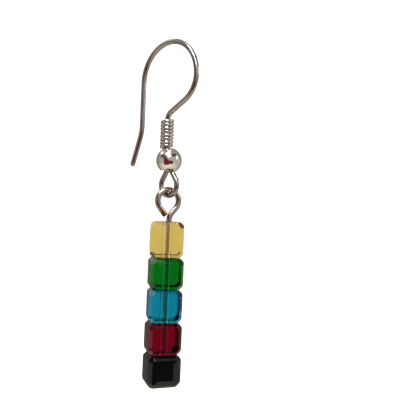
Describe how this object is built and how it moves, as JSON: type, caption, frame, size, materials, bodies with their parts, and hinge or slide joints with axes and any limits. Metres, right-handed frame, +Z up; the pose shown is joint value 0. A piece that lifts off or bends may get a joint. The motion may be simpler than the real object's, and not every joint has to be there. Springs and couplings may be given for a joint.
{
  "type": "glass bead drop earring",
  "caption": "Drop earring for a pierced ear: a bent ear wire with a coil and a ball holds a head pin strung with faceted glass cubes.",
  "frame": {"origin": "on the ear wire's centre line in its top arc, where it hangs in the ear, plumb above the drop", "axes": "+Z up along the plumb line of the drop, hook in the YZ plane with its front towards -Y and its long back leg at +Y"},
  "size_m": [0.0052, 0.0112, 0.043],
  "materials": {
    "steel": "polished silver-coloured wire",
    "coil_steel": "polished silver-coloured fine wire",
    "ball_steel": "polished silver-coloured ball",
    "pin_steel": "polished silver-coloured wire, brassy at its cut end",
    "glass_amber": "clear amber cut glass",
    "glass_green": "clear emerald cut glass",
    "glass_teal": "clear teal cut glass",
    "glass_red": "clear dark red cut glass",
    "glass_black": "opaque black cut glass"
  },
  "bodies": {
    "hook": {"ear_hook": "steel", "hook_coil": "coil_steel", "hook_ball": "ball_steel"},
    "drop": {"head_pin": "pin_steel"},
    "amber": {"bead_amber": "glass_amber"},
    "green": {"bead_green": "glass_green"},
    "teal": {"bead_teal": "glass_teal"},
    "red": {"bead_red": "glass_red"},
    "black": {"bead_black": "glass_black"}
  },
  "joints": [
    {"name": "drop_swing", "type": "hinge", "parent": "hook", "child": "drop", "pos_m": [0, 0, -0.01894], "axis": [0, 1, 0], "range_deg": [-110, 110]},
    {"name": "amber_spin", "type": "hinge", "parent": "drop", "child": "amber", "pos_m": [0, 0, -0.02429], "axis": [0, 0, 1], "continuous": true},
    {"name": "green_spin", "type": "hinge", "parent": "drop", "child": "green", "pos_m": [0, 0, -0.0284], "axis": [0, 0, 1], "continuous": true},
    {"name": "teal_spin", "type": "hinge", "parent": "drop", "child": "teal", "pos_m": [0, 0, -0.03233], "axis": [0, 0, 1], "continuous": true},
    {"name": "red_spin", "type": "hinge", "parent": "drop", "child": "red", "pos_m": [0, 0, -0.03628], "axis": [0, 0, 1], "continuous": true},
    {"name": "black_spin", "type": "hinge", "parent": "drop", "child": "black", "pos_m": [0, 0, -0.04016], "axis": [0, 0, 1], "continuous": true}
  ]
}
